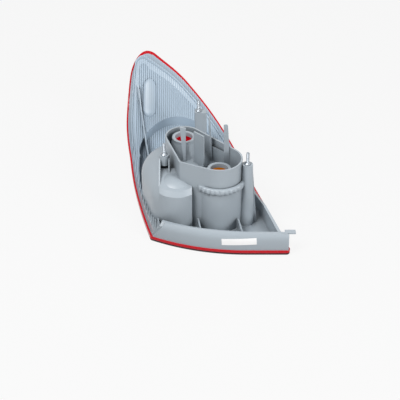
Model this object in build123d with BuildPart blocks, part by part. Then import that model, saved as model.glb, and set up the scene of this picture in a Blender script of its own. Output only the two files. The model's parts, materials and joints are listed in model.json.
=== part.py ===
"""Car tail light cluster lying on its lens, back up: housing, bonded lenses, studs and a blank label.

Millimetres. Z is up and runs along the studs, the base wall faces -Y and the tip points to +Y.
"""

import os
from math import atan2, degrees, hypot, radians, sin, sqrt, tan

from build123d import *

os.makedirs("parts", exist_ok=True)

# Plan outline of the lens
BASE_Y = -195.0
BASE_RIGHT_X = 126.0
BASE_BEND_X = 60.0
BASE_CURVE_RADIUS = 310.0
BASE_CURVE_ANGLE = 28.0
SHOULDER_POINT = (-130.0, 70.0)
TIP_CENTRE = (-99.0, 166.5)
TIP_RADIUS = 28.5
TIP_START_ANGLE = 171.0
TIP_END_ANGLE = 65.0
RIGHT_STRAIGHT_END = (73.0, -5.0)
CORNER_RADIUS = 5.0

# Parting surface between lens and housing: flat under the bulb bay, then bent up towards the tip
LENS_DEPTH = 9.0
BEND_START_Y = -25.0
BEND_RADIUS = 247.6
BEND_SWEEP = 75.0
HALF_SPAN = 200.0
FRONT_REACH = 260.0
BAND_TOP = 200.0

# Lens tray and its indicator window
LENS_WALL = 3.0
LENS_FLOOR = 2.5
LENS_EDGE_RADIUS = 3.0
LEDGE_DEPTH = 4.0
LEDGE_WIDTH = 3.2
SEAL_GAP = 0.2
WINDOW_RADIUS = 44.0
WINDOW_LAP = 3.0
WINDOW_LAP_THICKNESS = 1.5
WINDOW_GAP = 0.1

# Housing shell
SHELL_WALL = 2.5
RIM_PLATE = 3.0
RIM_TOP = 0.5
RIM_FOOT_WIDTH = 2.8
SAIL_RISE = 14.0
SAIL_WALL = 2.5
SAIL_LEFT_BORDER = 4.6
SAIL_SHIFT = (-4.0, -14.0)

# Flutes of the sail and of the valley floor, all at constant X
FLUTE_PITCH = 3.5
FLUTE_WIDTH = 2.4
FLUTE_DEPTH = 0.9
SAIL_FLUTE_COUNT = 58
SAIL_FLUTES_X = -32.0
FLOOR_FLUTE_COUNT = 24
FLOOR_FLUTES_X = -74.0

# Finger ridge and fin on the sail
RIDGE_TOP = (-96.5, 154.0)
RIDGE_LENGTH = 46.0
RIDGE_WIDTH = 19.0
RIDGE_RISE = 3.0
FIN_TIP = (-115.6, 145.0)
FIN_FOOT = (-89.0, -8.0)
FIN_THICKNESS = 2.2
FIN_RISE = 5.0

# Opening of the sail round the bowls
OPENING_RIGHT_FOOT = (111.0, -205.0)
OPENING_RIGHT_KNEE = (76.0, -72.0)
OPENING_ARC_START = (11.0, 65.5)
OPENING_ARC_TOP = (-48.0, 107.0)
OPENING_ARC_END = (-110.0, 33.0)
OPENING_LEFT_POINT = (-99.5, -69.0)
OPENING_LEFT_FOOT = (-36.0, -205.0)

# Reflector bowls
UPPER_SOCKET = (-35.0, -48.0)
LOWER_SOCKET = (19.0, -112.0)
BOWL_BACK = (-40.0, -57.0)
BOWL_BACK_RADIUS = 62.0
BOWL_FRONT = (-45.0, -105.0)
BOWL_FRONT_RADIUS = 43.0
BOWL_TOP_Z = 90.0
BOWL_SHOULDER = 33.0
BOWL_CUT_X = -22.0
BOWL_CUT_Y = -112.0
DRUM_RADIUS = 37.5
DRUM_TOP_Z = 83.0
BEAD_COUNT = 20
BEAD_RADIUS = 3.3
BEAD_HEIGHT = 7.0

# Facet and bevel at the front of the left bowl
FACET_LEFT_X = -71.0
FACET_FRONT_Z = 78.0
FACET_SLOPE = 17.0
FACET_BEVEL = 6.0

# Bulb bay collar and sockets
COLLAR_BACK_RADIUS = 29.0
COLLAR_FRONT_RADIUS = 35.0
COLLAR_CORNER = (-36.0, -119.0)
COLLAR_CORNER_RADIUS = 6.0
COLLAR_RIM_Z = 120.0
COLLAR_FLOOR_Z = 85.0
SOCKET_BORE_RADIUS = 13.5
SOCKET_RING_RADIUS = 18.0
SOCKET_RING_HEIGHT = 4.5
SOCKET_CONE_RADIUS = 25.0
UPPER_RING_Z = 118.0
LOWER_RING_Z = 101.0

# Guide blades in the bulb bay
BLADE_THICKNESS = 2.2
BLADE_FOOT_Z = 83.0
BLADE_TOP_SLOPE = 2.0
BACK_BLADE_Y = -74.0
BACK_BLADE_FOOT_X = (-35.0, -32.0)
BACK_BLADE_TOP_X = (-40.5, -31.5)
BACK_BLADE_TOP_Z = 151.0
WIDE_BLADE = ((-19.0, -75.0), (-4.0, -90.0))
WIDE_BLADE_TOP_Z = 144.0
BRIDGE = ((8.0, -61.0), (31.0, -82.0))
BRIDGE_TOP_Z = 109.0
GUIDE_TOP_Z = 160.0
GUIDE_DEPTH = 8.0
NARROW_GUIDE_FOOT_X = (7.0, 9.6)
NARROW_GUIDE_TOP_X = (3.0, 5.0)
BROAD_GUIDE_FOOT_X = (27.0, 37.0)
BROAD_GUIDE_TOP_X = (25.5, 29.5, 32.0)

# Studs and what carries them
STUD_SEAT_Z = 115.0
STUD_RADIUS = 2.5
STUD_REACH = 20.0
STUD_ROOT = 14.0
STUD_FOOT_RADIUS = 5.0
STUD_FOOT_HEIGHT = 3.5
STUD_TIP_CHAMFER = 0.7
STUD_GAP = 0.05
LEFT_STUD = (-64.0, -95.0)
RIGHT_STUD = (61.0, -121.0)
UPPER_STUD = (-12.0, 37.0)
BOSS_RADIUS = 7.0
BOSS_HEIGHT = 16.0
BOSS_RIB_THICKNESS = 2.2
BOSS_RIB_FOOT_Z = 82.0
BOSS_RIB_DROP = 5.0
BOSS_RIB_FRONT = 37.0
BOSS_RIB_SHORT_FRONT = 17.0
POST_TOP_RADIUS = 8.0
POST_FOOT_RADIUS = 13.0
POST_CORE_RADIUS = 5.5
POST_FIN_REACH = 17.0
POST_FIN_THICKNESS = 3.0
PILLAR_WIDTH = 19.0
PILLAR_DEPTH = 14.0
PILLAR_SHIFT = 3.0
PILLAR_ROUNDING = 3.0

# Base wall along the front edge and the wall up the right side
WALL_INSET = 3.6
WALL_CREASE_Z = 31.0
WALL_TOP_Z = 40.0
WALL_TOP_LEFT_Z = 36.5
WALL_TOP_RIGHT_Z = 35.5
WALL_MITRE = 19.0
SIDE_WALL_Z = 36.0
SIDE_WALL_MIN_X = 30.0
SIDE_WALL_FALL_Y = (-115.0, -45.0)
TAB_END_X = 132.1
TAB_LENGTH = 16.0
TAB_WIDTH = 9.0
TAB_THICKNESS = 1.6
GUSSET_X = (-66.0, -5.0, 56.0)
GUSSET_SKEW = 8.0
GUSSET_TOP_Z = 29.0
GUSSET_THICKNESS = 2.2

# Blank label on the base wall
LABEL_CENTRE = (48.0, 25.0)
LABEL_WIDTH = 52.0
LABEL_HEIGHT = 11.0
LABEL_THICKNESS = 0.3
LABEL_TILT = 3.0

PARTING_Z = LENS_DEPTH
FLANGE_INSET = LENS_WALL + SEAL_GAP
DEEP = -60.0
TALL = 260.0


def lens_outline(inset):
    """Plan outline of the lamp moved inwards by an inset."""
    curve_centre = (BASE_BEND_X, BASE_Y + BASE_CURVE_RADIUS)
    with BuildSketch() as outline:
        with BuildLine():
            base = Line((BASE_RIGHT_X, BASE_Y), (BASE_BEND_X, BASE_Y))
            curve = CenterArc(curve_centre, BASE_CURVE_RADIUS, -90, -BASE_CURVE_ANGLE)
            tip = CenterArc(TIP_CENTRE, TIP_RADIUS, TIP_START_ANGLE, TIP_END_ANGLE - TIP_START_ANGLE)
            shoulder = TangentArc(tip @ 0, SHOULDER_POINT, tangent=-(tip % 0))
            TangentArc(SHOULDER_POINT, curve @ 1, tangent=shoulder % 1)
            right = TangentArc(tip @ 1, RIGHT_STRAIGHT_END, tangent=tip % 1)
            Line(right @ 1, base @ 0)
        make_face()
        for corner in (base @ 0, curve @ 1):
            fillet(outline.vertices().sort_by_distance(corner)[0], CORNER_RADIUS)
        if inset > 0:
            offset(amount=-inset, kind=Kind.INTERSECTION)
    return outline.sketch


def bay_opening(growth):
    """Plan of the opening of the sail round the bowls, grown outwards."""
    with BuildSketch() as opening:
        with BuildLine():
            Line(OPENING_RIGHT_FOOT, OPENING_RIGHT_KNEE)
            Line(OPENING_RIGHT_KNEE, OPENING_ARC_START)
            ThreePointArc(OPENING_ARC_START, OPENING_ARC_TOP, OPENING_ARC_END)
            ThreePointArc(OPENING_ARC_END, OPENING_LEFT_POINT, OPENING_LEFT_FOOT)
            Line(OPENING_LEFT_FOOT, OPENING_RIGHT_FOOT)
        make_face()
        if growth > 0:
            offset(amount=growth)
    return opening.sketch


def sail_outline(wall):
    """Plan of the raised sail drawn in by a wall: narrow border at the left, wide at the right and tip."""
    border = lens_outline(SAIL_LEFT_BORDER + wall)
    opening = bay_opening(wall)
    with BuildSketch() as sail:
        add(border)
        add(Pos(*SAIL_SHIFT) * border, mode=Mode.INTERSECT)
        add(opening, mode=Mode.SUBTRACT)
    return sail.sketch


def curved_band(low, high):
    """Slab between two heights above the parting surface: flat, then bent about an axis along X."""
    bend_centre = (BEND_START_Y, PARTING_Z + BEND_RADIUS)
    with BuildPart() as band:
        with BuildSketch(Plane.YZ):
            with BuildLine():
                under = CenterArc(bend_centre, BEND_RADIUS - low, -90, BEND_SWEEP)
                over = CenterArc(bend_centre, BEND_RADIUS - high, -90, BEND_SWEEP)
                Line(under @ 1, over @ 1)
                Polyline(
                    under @ 0,
                    (-FRONT_REACH, PARTING_Z + low),
                    (-FRONT_REACH, PARTING_Z + high),
                    over @ 0,
                )
            make_face()
        extrude(amount=HALF_SPAN, both=True)
    return band.part


def prism(face, low=DEEP, high=TALL):
    """Upright prism on a plan face between two heights."""
    with BuildPart() as column:
        with BuildSketch(Plane.XY.offset(low)):
            add(face)
        extrude(amount=high - low)
    return column.part


def curved_plate(face, low, high):
    """Plan face carried up on the parting surface between two heights above it."""
    return prism(face) & curved_band(low, high)


def hull_outline(rounds, inset):
    """Plan outline stretched round circles given as centre and radius, each smaller by an inset."""
    with BuildSketch() as outline:
        for centre, radius in rounds:
            with Locations(centre):
                Circle(radius - inset)
        make_hull()
    return outline.sketch


def cross_plate(points, y_middle, thickness):
    """Upright plate across the lamp: an XZ polygon with its thickness along Y."""
    with BuildPart() as plate:
        with BuildSketch(Plane.XZ.offset(-y_middle)):
            Polygon(*points, align=None)
        extrude(amount=thickness / 2, both=True)
    return plate.part


def long_plate(points, x_middle, thickness):
    """Upright plate along the lamp: a YZ polygon with its thickness along X."""
    with BuildPart() as plate:
        with BuildSketch(Plane.YZ.offset(x_middle)):
            Polygon(*points, align=None)
        extrude(amount=thickness / 2, both=True)
    return plate.part


def slanted_plate(start, end, thickness, low, high):
    """Upright plate between two plan points."""
    length = hypot(end[0] - start[0], end[1] - start[1])
    turn = degrees(atan2(end[1] - start[1], end[0] - start[0]))
    with BuildPart() as plate:
        with BuildSketch(Plane.XY.offset(low)):
            with Locations(((start[0] + end[0]) / 2, (start[1] + end[1]) / 2)):
                Rectangle(length, thickness, rotation=turn)
        extrude(amount=high - low)
    return plate.part


def turned(points, centre):
    """Solid turned about an upright axis from radius and height points."""
    with BuildPart() as solid:
        with BuildSketch(Plane.XZ):
            Polygon(*points, align=None)
        revolve(axis=Axis.Z)
    return Pos(centre[0], centre[1]) * solid.part


# Plan faces that several pieces share
COLLAR_ROUNDS = (
    (UPPER_SOCKET, COLLAR_BACK_RADIUS),
    (LOWER_SOCKET, COLLAR_FRONT_RADIUS),
    (COLLAR_CORNER, COLLAR_CORNER_RADIUS),
)
BOWL_ROUNDS = ((BOWL_BACK, BOWL_BACK_RADIUS), (BOWL_FRONT, BOWL_FRONT_RADIUS))
above_parting = curved_band(0, BAND_TOP)


def left_bowl(inset):
    """Rounded bowl behind the upper socket, drawn in by an inset; its front right side is cut flat."""
    with BuildPart() as bowl:
        with BuildSketch(Plane.XY.offset(DEEP)):
            add(hull_outline(BOWL_ROUNDS, inset))
        extrude(amount=BOWL_TOP_Z - inset - DEEP)
        fillet(bowl.faces().sort_by(Axis.Z)[-1].edges(), BOWL_SHOULDER - inset)
        with BuildSketch(Plane.XY.offset(DEEP)):
            with Locations((BOWL_CUT_X - inset, BOWL_CUT_Y + inset)):
                Rectangle(HALF_SPAN, HALF_SPAN, align=(Align.MIN, Align.MAX))
        extrude(amount=TALL, mode=Mode.SUBTRACT)
    return bowl.part


def bowl_front(inset):
    """Upright front of the left bowl under a sloped facet with a bevelled edge."""
    facet_rise = tan(radians(FACET_SLOPE))
    front_y = BOWL_FRONT[1] - BOWL_FRONT_RADIUS
    back_y = BOWL_FRONT[1] + FACET_BEVEL
    with BuildPart() as front:
        with BuildSketch(Plane.XY.offset(DEEP)):
            with Locations(BOWL_FRONT):
                Circle(BOWL_FRONT_RADIUS - inset)
            with Locations((FACET_LEFT_X + inset, back_y)):
                Rectangle(
                    BOWL_CUT_X - FACET_LEFT_X - 2 * inset,
                    HALF_SPAN,
                    align=(Align.MIN, Align.MAX),
                    mode=Mode.INTERSECT,
                )
        extrude(amount=BOWL_TOP_Z + BOWL_SHOULDER - DEEP)
        with BuildSketch(Plane.YZ):
            Polygon(
                (front_y, FACET_FRONT_Z - inset),
                (back_y, FACET_FRONT_Z - inset + (back_y - front_y) * facet_rise),
                (back_y, TALL),
                (front_y - HALF_SPAN, TALL),
                (front_y - HALF_SPAN, FACET_FRONT_Z - inset),
                align=None,
            )
        extrude(amount=HALF_SPAN, both=True, mode=Mode.SUBTRACT)
        chamfer(front.edges().filter_by(GeomType.ELLIPSE), FACET_BEVEL)
    return front.part


def socket(centre, foot_z, ring_z):
    """Cone and ring of a bulb socket, and the hollow under and through it."""
    ring_foot = ring_z - SOCKET_RING_HEIGHT
    cone = turned(
        [
            (0, foot_z),
            (SOCKET_CONE_RADIUS, foot_z),
            (SOCKET_RING_RADIUS, ring_foot),
            (SOCKET_RING_RADIUS, ring_z),
            (0, ring_z),
        ],
        centre,
    )
    core = turned(
        [
            (0, foot_z - 2 * SHELL_WALL),
            (SOCKET_CONE_RADIUS - SHELL_WALL, foot_z - 2 * SHELL_WALL),
            (SOCKET_CONE_RADIUS - SHELL_WALL, foot_z - SHELL_WALL),
            (SOCKET_RING_RADIUS - SHELL_WALL, ring_foot - SHELL_WALL),
            (SOCKET_BORE_RADIUS, ring_foot - SHELL_WALL),
            (SOCKET_BORE_RADIUS, ring_z + SHELL_WALL),
            (0, ring_z + SHELL_WALL),
        ],
        centre,
    )
    return cone, core


def stud_hole(centre):
    """Blind hole for the root of a stud."""
    return turned(
        [
            (0, STUD_SEAT_Z - STUD_ROOT),
            (STUD_RADIUS + STUD_GAP, STUD_SEAT_Z - STUD_ROOT),
            (STUD_RADIUS + STUD_GAP, STUD_SEAT_Z + SHELL_WALL),
            (0, STUD_SEAT_Z + SHELL_WALL),
        ],
        centre,
    )


def flute_cutters(middle_x, count, rise):
    """Row of V-shaped bars that cut flutes into a surface at a rise above the parting surface."""
    with BuildPart() as cutters:
        with BuildSketch(Plane.XZ.offset(-BEND_START_Y)) as row:
            with Locations((middle_x, PARTING_Z + rise - FLUTE_DEPTH)):
                with GridLocations(FLUTE_PITCH, 1, count, 1):
                    Polygon(
                        (0, 0),
                        (FLUTE_WIDTH, 2 * FLUTE_DEPTH),
                        (-FLUTE_WIDTH, 2 * FLUTE_DEPTH),
                        align=None,
                    )
        extrude(amount=FRONT_REACH)
        revolve(
            row.sketch,
            axis=Axis((0, BEND_START_Y, PARTING_Z + BEND_RADIUS), (1, 0, 0)),
            revolution_arc=BEND_SWEEP,
        )
    return cutters.part


# Rim plate with its foot, and the flutes of the valley floor
with BuildPart() as rim:
    add(curved_plate(lens_outline(FLANGE_INSET), RIM_TOP - RIM_PLATE, RIM_TOP))
    add(
        flute_cutters(FLOOR_FLUTES_X, FLOOR_FLUTE_COUNT, RIM_TOP) & prism(bay_opening(0)),
        mode=Mode.SUBTRACT,
    )
    add(
        curved_plate(lens_outline(FLANGE_INSET), -LEDGE_DEPTH, 0)
        - curved_plate(lens_outline(FLANGE_INSET + RIM_FOOT_WIDTH), -LEDGE_DEPTH, 0)
    )

# Sail with its flutes and finger ridge
with BuildSketch() as ridge_plan:
    with Locations((RIDGE_TOP[0], RIDGE_TOP[1] - RIDGE_LENGTH / 2)):
        SlotOverall(RIDGE_LENGTH, RIDGE_WIDTH, rotation=90)

with BuildPart() as sail:
    add(curved_plate(sail_outline(0), 0, SAIL_RISE))
    add(flute_cutters(SAIL_FLUTES_X, SAIL_FLUTE_COUNT, SAIL_RISE), mode=Mode.SUBTRACT)
    add(curved_plate(ridge_plan.sketch, SAIL_RISE - SAIL_WALL, SAIL_RISE + RIDGE_RISE))


# Base wall: an upright band that leans back above its crease, mitred at the left
wall_front_y = BASE_Y + WALL_INSET
wall_end_x = BASE_BEND_X - BASE_CURVE_RADIUS * sin(radians(BASE_CURVE_ANGLE))
wall_lean = WALL_TOP_Z - WALL_CREASE_Z
with BuildPart() as base_wall:
    with BuildLine() as wall_path:
        Line((BASE_RIGHT_X, wall_front_y), (BASE_BEND_X, wall_front_y))
        CenterArc(
            (BASE_BEND_X, BASE_Y + BASE_CURVE_RADIUS),
            BASE_CURVE_RADIUS - WALL_INSET,
            -90,
            -BASE_CURVE_ANGLE,
        )
    with BuildSketch(Plane.YZ.offset(BASE_RIGHT_X)):
        Polygon(
            (wall_front_y, PARTING_Z),
            (wall_front_y, WALL_CREASE_Z),
            (wall_front_y + wall_lean, WALL_TOP_Z),
            (wall_front_y + wall_lean + SHELL_WALL * sqrt(2), WALL_TOP_Z),
            (wall_front_y + SHELL_WALL, WALL_CREASE_Z - SHELL_WALL * (sqrt(2) - 1)),
            (wall_front_y + SHELL_WALL, PARTING_Z),
            align=None,
        )
    sweep(path=wall_path.line)
    add(prism(lens_outline(WALL_INSET)), mode=Mode.INTERSECT)
    with BuildSketch(Plane.XZ):
        Polygon(
            (wall_end_x, PARTING_Z),
            (wall_end_x + WALL_MITRE, WALL_TOP_LEFT_Z),
            (BASE_RIGHT_X, WALL_TOP_RIGHT_Z),
            (BASE_RIGHT_X, PARTING_Z),
            align=None,
        )
    extrude(amount=FRONT_REACH, mode=Mode.INTERSECT)


# Wall up the right side, on the right arm of the sail
with BuildPart() as side_wall:
    add(prism(sail_outline(0)))
    with BuildSketch(Plane.YZ.offset(SIDE_WALL_MIN_X)):
        Polygon(
            (wall_front_y + SHELL_WALL / 2, PARTING_Z),
            (wall_front_y + SHELL_WALL / 2, WALL_CREASE_Z),
            (wall_front_y + SHELL_WALL + SIDE_WALL_Z - WALL_CREASE_Z, SIDE_WALL_Z),
            (SIDE_WALL_FALL_Y[0], SIDE_WALL_Z),
            (SIDE_WALL_FALL_Y[1], PARTING_Z + SAIL_RISE),
            (SIDE_WALL_FALL_Y[1], PARTING_Z),
            align=None,
        )
    extrude(amount=HALF_SPAN, mode=Mode.INTERSECT)

# Lower drum with the scalloped bead round its top
drum_plan = hull_outline(((LOWER_SOCKET, DRUM_RADIUS),), 0)
with BuildPart() as drum:
    add(prism(drum_plan, DEEP, DRUM_TOP_Z))
    with BuildSketch(Plane.XY.offset(DRUM_TOP_Z - BEAD_RADIUS)):
        with Locations(LOWER_SOCKET):
            with PolarLocations(DRUM_RADIUS, BEAD_COUNT):
                Circle(BEAD_RADIUS)
    extrude(amount=BEAD_HEIGHT)

# Stud carriers: a boss between ribs on the left bowl, a post with a fin, and a flat pillar
boss_plan = hull_outline(((LEFT_STUD, BOSS_RADIUS),), 0)
rib_top_z = STUD_SEAT_Z - BOSS_RIB_DROP
rib_back_y = LEFT_STUD[1] + BOSS_RADIUS
rib_knee_y = LEFT_STUD[1] - BOSS_RADIUS / 2
with BuildPart() as left_boss:
    add(prism(boss_plan, STUD_SEAT_Z - BOSS_HEIGHT, STUD_SEAT_Z))
    for side, reach in ((-1, BOSS_RIB_FRONT), (1, BOSS_RIB_SHORT_FRONT)):
        add(
            long_plate(
                [
                    (rib_back_y, BOSS_RIB_FOOT_Z),
                    (rib_back_y, rib_top_z),
                    (rib_knee_y, rib_top_z),
                    (LEFT_STUD[1] - reach, BOSS_RIB_FOOT_Z),
                ],
                LEFT_STUD[0] + side * BOSS_RADIUS,
                BOSS_RIB_THICKNESS,
            )
        )
    add(
        slanted_plate(
            (LEFT_STUD[0] - BOSS_RADIUS, rib_back_y),
            (LEFT_STUD[0] + BOSS_RADIUS, rib_back_y),
            BOSS_RIB_THICKNESS,
            BOSS_RIB_FOOT_Z,
            rib_top_z,
        )
    )

post = turned(
    [(0, 0), (POST_FOOT_RADIUS, 0), (POST_TOP_RADIUS, STUD_SEAT_Z), (0, STUD_SEAT_Z)],
    RIGHT_STUD,
)
post_fin = cross_plate(
    [
        (RIGHT_STUD[0], 0),
        (RIGHT_STUD[0] + POST_FIN_REACH, 0),
        (RIGHT_STUD[0] + POST_TOP_RADIUS, STUD_SEAT_Z - POST_TOP_RADIUS),
        (RIGHT_STUD[0], STUD_SEAT_Z - POST_TOP_RADIUS),
    ],
    RIGHT_STUD[1],
    POST_FIN_THICKNESS,
)
core_top_z = STUD_SEAT_Z - STUD_ROOT - SHELL_WALL
post_core_plan = hull_outline(((RIGHT_STUD, POST_CORE_RADIUS),), 0)
pillar_middle = (UPPER_STUD[0] + PILLAR_SHIFT, UPPER_STUD[1])
with BuildSketch() as pillar_plan:
    with Locations(pillar_middle):
        RectangleRounded(PILLAR_WIDTH, PILLAR_DEPTH, PILLAR_ROUNDING)
with BuildSketch() as pillar_core_plan:
    with Locations(pillar_middle):
        Rectangle(PILLAR_WIDTH - 2 * SHELL_WALL, PILLAR_DEPTH - 2 * SHELL_WALL)

# Guide blades that stand in the bulb bay
with BuildPart() as blades:
    add(
        cross_plate(
            [
                (BACK_BLADE_FOOT_X[0], BLADE_FOOT_Z),
                (BACK_BLADE_FOOT_X[1], BLADE_FOOT_Z),
                (BACK_BLADE_TOP_X[1], BACK_BLADE_TOP_Z - BLADE_TOP_SLOPE),
                (BACK_BLADE_TOP_X[0], BACK_BLADE_TOP_Z),
            ],
            BACK_BLADE_Y,
            BLADE_THICKNESS,
        )
    )
    add(slanted_plate(*WIDE_BLADE, BLADE_THICKNESS, BLADE_FOOT_Z, WIDE_BLADE_TOP_Z))
    add(slanted_plate(*BRIDGE, BLADE_THICKNESS, BLADE_FOOT_Z, BRIDGE_TOP_Z))
    add(
        cross_plate(
            [
                (NARROW_GUIDE_FOOT_X[0], BLADE_FOOT_Z),
                (NARROW_GUIDE_FOOT_X[1], BLADE_FOOT_Z),
                (NARROW_GUIDE_TOP_X[1], GUIDE_TOP_Z),
                (NARROW_GUIDE_TOP_X[0], GUIDE_TOP_Z - BLADE_TOP_SLOPE),
            ],
            BRIDGE[0][1],
            GUIDE_DEPTH,
        )
    )
    add(
        cross_plate(
            [
                (BROAD_GUIDE_FOOT_X[0], BLADE_FOOT_Z),
                (BROAD_GUIDE_FOOT_X[1], BLADE_FOOT_Z),
                (BROAD_GUIDE_TOP_X[2], GUIDE_TOP_Z - BLADE_TOP_SLOPE),
                (BROAD_GUIDE_TOP_X[1], GUIDE_TOP_Z),
                (BROAD_GUIDE_TOP_X[0], GUIDE_TOP_Z - BLADE_TOP_SLOPE / 2),
            ],
            BRIDGE[1][1],
            BLADE_THICKNESS,
        )
    )

# Gussets from the base wall to the bowls
with BuildPart() as gussets:
    for x in GUSSET_X:
        add(
            slanted_plate(
                (x, wall_front_y),
                (x - GUSSET_SKEW, BOWL_FRONT[1] - BOWL_FRONT_RADIUS + GUSSET_SKEW),
                GUSSET_THICKNESS,
                PARTING_Z,
                GUSSET_TOP_Z,
            )
        )
    add(prism(lens_outline(WALL_INSET + SHELL_WALL / 2)), mode=Mode.INTERSECT)

upper_cone, upper_core = socket(UPPER_SOCKET, BOWL_TOP_Z - SHELL_WALL, UPPER_RING_Z)
lower_cone, lower_core = socket(LOWER_SOCKET, DRUM_TOP_Z - SHELL_WALL, LOWER_RING_Z)
collar_plan = hull_outline(COLLAR_ROUNDS, 0)
collar_inside = hull_outline(COLLAR_ROUNDS, SHELL_WALL)
bowl = left_bowl(0)
front = bowl_front(0)

# Space between the bowls under the floor of the bulb bay
with BuildPart() as under_bay:
    add(prism(collar_inside, DEEP, COLLAR_FLOOR_Z - SHELL_WALL))
    add(bowl, mode=Mode.SUBTRACT)
    add(front, mode=Mode.SUBTRACT)
    add(drum.part, mode=Mode.SUBTRACT)

# Housing: everything above the parting surface, then the rim and the sail, then the hollows
with BuildPart() as housing:
    add(prism(collar_plan, DEEP, COLLAR_RIM_Z))
    add(prism(collar_inside, COLLAR_FLOOR_Z, TALL), mode=Mode.SUBTRACT)
    add([bowl, front, drum.part], clean=False)
    for piece in (upper_cone, lower_cone, blades.part):
        add(piece, clean=False)
    for piece in (left_boss.part, post, post_fin, prism(pillar_plan.sketch, DEEP, STUD_SEAT_Z)):
        add(piece)
    for piece in (base_wall.part, side_wall.part, gussets.part):
        add(piece)
    add(slanted_plate(FIN_TIP, FIN_FOOT, FIN_THICKNESS, DEEP, TALL) & curved_band(0, SAIL_RISE + FIN_RISE))
    add(above_parting, mode=Mode.INTERSECT)
    add(rim.part)
    add(sail.part)
    with Locations((TAB_END_X, wall_front_y + WALL_TOP_RIGHT_Z - WALL_CREASE_Z, WALL_TOP_RIGHT_Z)):
        Box(
            TAB_LENGTH,
            TAB_WIDTH,
            TAB_THICKNESS,
            align=(Align.MAX, Align.MIN, Align.MAX),
        )
    for hollow in (left_bowl(SHELL_WALL), bowl_front(SHELL_WALL), upper_core, lower_core, under_bay.part):
        add(hollow, mode=Mode.SUBTRACT)
    drum_hollow = hull_outline(((LOWER_SOCKET, DRUM_RADIUS),), SHELL_WALL)
    add(prism(drum_hollow, DEEP, DRUM_TOP_Z - SHELL_WALL), mode=Mode.SUBTRACT)
    add(
        curved_plate(sail_outline(SAIL_WALL), -LENS_DEPTH, SAIL_RISE - SAIL_WALL),
        mode=Mode.SUBTRACT,
    )
    add(prism(post_core_plan, DEEP, core_top_z), mode=Mode.SUBTRACT)
    add(prism(pillar_core_plan.sketch, DEEP, core_top_z), mode=Mode.SUBTRACT)
    for stud in (LEFT_STUD, RIGHT_STUD, UPPER_STUD):
        add(stud_hole(stud), mode=Mode.SUBTRACT)
housing.part.label = "housing"
export_step(housing.part, "parts/housing.step")

# Red lens: a bent tray with a ledge for the rim and a round opening for the indicator window
with BuildPart() as red_lens:
    add(curved_plate(lens_outline(0), -LENS_DEPTH, 0))
    flat_face, bent_face = red_lens.faces().filter_by(lambda face: face.normal_at().Z < -0.5)
    bend_line = flat_face.edges() & bent_face.edges()
    fillet((flat_face.edges() + bent_face.edges()) - bend_line, LENS_EDGE_RADIUS)
    add(curved_plate(lens_outline(LENS_WALL), -LEDGE_DEPTH, SAIL_RISE), mode=Mode.SUBTRACT)
    add(
        curved_plate(lens_outline(LENS_WALL + LEDGE_WIDTH), LENS_FLOOR - LENS_DEPTH, SAIL_RISE),
        mode=Mode.SUBTRACT,
    )
    with BuildSketch():
        with Locations(LOWER_SOCKET):
            Circle(WINDOW_RADIUS)
    extrude(amount=LENS_DEPTH, mode=Mode.SUBTRACT)
red_lens.part.label = "red_lens"
export_step(red_lens.part, "parts/red_lens.step")

# Amber window lapped onto the inside of the red lens
with BuildPart() as amber_lens:
    with BuildSketch():
        with Locations(LOWER_SOCKET):
            Circle(WINDOW_RADIUS - WINDOW_GAP)
    extrude(amount=LENS_FLOOR)
    with BuildSketch(Plane.XY.offset(LENS_FLOOR)):
        with Locations(LOWER_SOCKET):
            Circle(WINDOW_RADIUS + WINDOW_LAP)
    extrude(amount=WINDOW_LAP_THICKNESS)
amber_lens.part.label = "amber_lens"
export_step(amber_lens.part, "parts/amber_lens.step")

# Three like studs with conical feet
with BuildPart() as mounting_studs:
    for centre in (LEFT_STUD, RIGHT_STUD, UPPER_STUD):
        add(
            turned(
                [
                    (0, STUD_SEAT_Z - STUD_ROOT),
                    (STUD_RADIUS, STUD_SEAT_Z - STUD_ROOT),
                    (STUD_RADIUS, STUD_SEAT_Z),
                    (STUD_FOOT_RADIUS, STUD_SEAT_Z),
                    (STUD_FOOT_RADIUS, STUD_SEAT_Z + STUD_FOOT_HEIGHT / 3),
                    (STUD_RADIUS, STUD_SEAT_Z + STUD_FOOT_HEIGHT),
                    (STUD_RADIUS, STUD_SEAT_Z + STUD_REACH - STUD_TIP_CHAMFER),
                    (STUD_RADIUS - STUD_TIP_CHAMFER, STUD_SEAT_Z + STUD_REACH),
                    (0, STUD_SEAT_Z + STUD_REACH),
                ],
                centre,
            )
        )
mounting_studs.part.label = "mounting_studs"
export_step(mounting_studs.part, "parts/mounting_studs.step")

# Blank label on the upright band of the base wall
with BuildPart() as label:
    with BuildSketch(Plane.XZ.offset(-wall_front_y)):
        with Locations(LABEL_CENTRE):
            Rectangle(LABEL_WIDTH, LABEL_HEIGHT, rotation=LABEL_TILT)
    extrude(amount=LABEL_THICKNESS)
label.part.label = "label"
export_step(label.part, "parts/label.step")
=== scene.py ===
"""Dresses a car tail light cluster that lies on its lens: plastics, trim, studs, label and stage."""

import json
from math import cos, radians, sin
from typing import NamedTuple

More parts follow.
